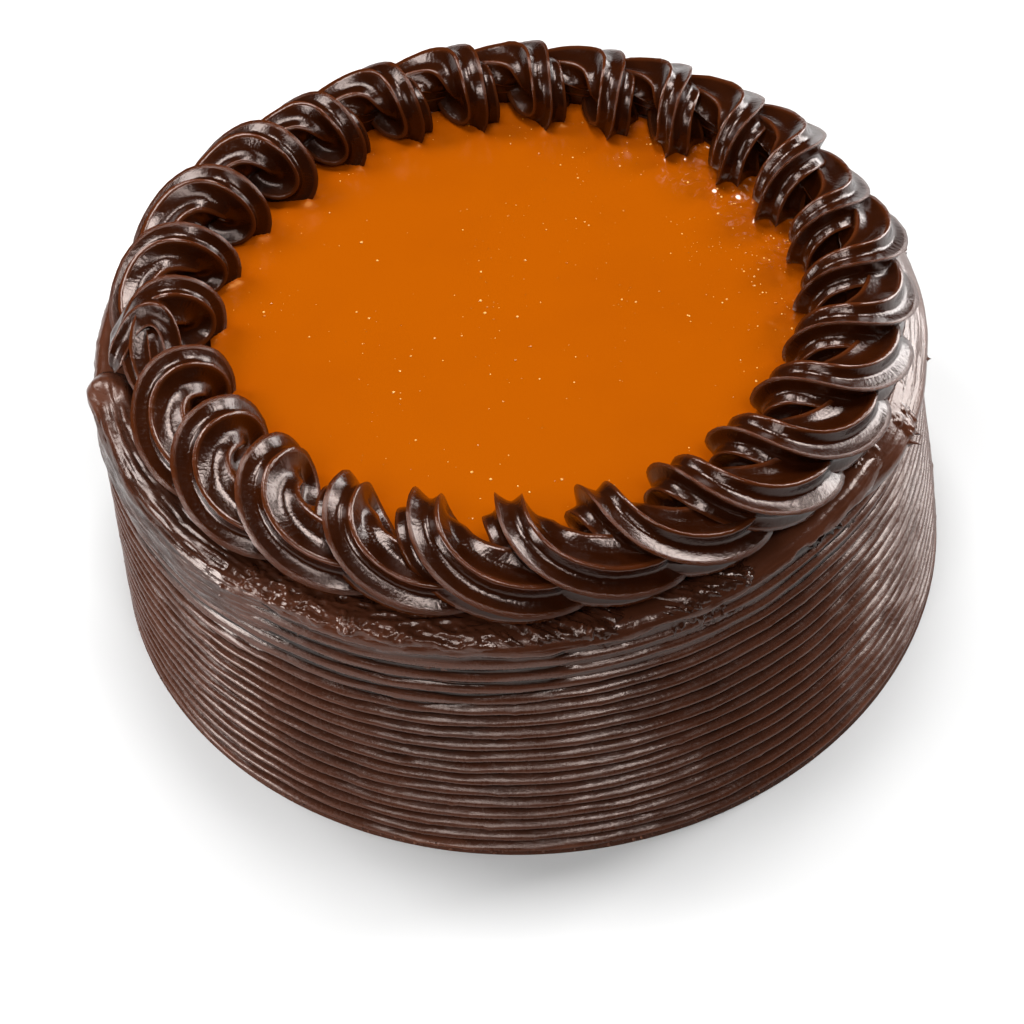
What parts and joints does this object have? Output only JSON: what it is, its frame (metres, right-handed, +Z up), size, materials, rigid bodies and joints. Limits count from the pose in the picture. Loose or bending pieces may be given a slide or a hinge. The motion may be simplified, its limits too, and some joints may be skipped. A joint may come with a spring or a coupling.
{
  "type": "chocolate cake",
  "caption": "Round chocolate cake with combed icing round its side, a piped rope border and a pool of caramel on top; it stands on its flat underside.",
  "frame": {"origin": "middle of the flat underside", "axes": "+Z up through the cake; +Y away from the side shown in front; the rope border starts and ends near -X"},
  "size_m": [0.2056, 0.2055, 0.0872],
  "materials": {
    "icing": "satin dark chocolate icing, combed",
    "piping": "glossy dark chocolate, piped",
    "caramel": "glossy amber caramel"
  },
  "bodies": {
    "root": {"cake_body": "icing", "piped_border": "piping", "caramel_top": "caramel"}
  },
  "joints": []
}
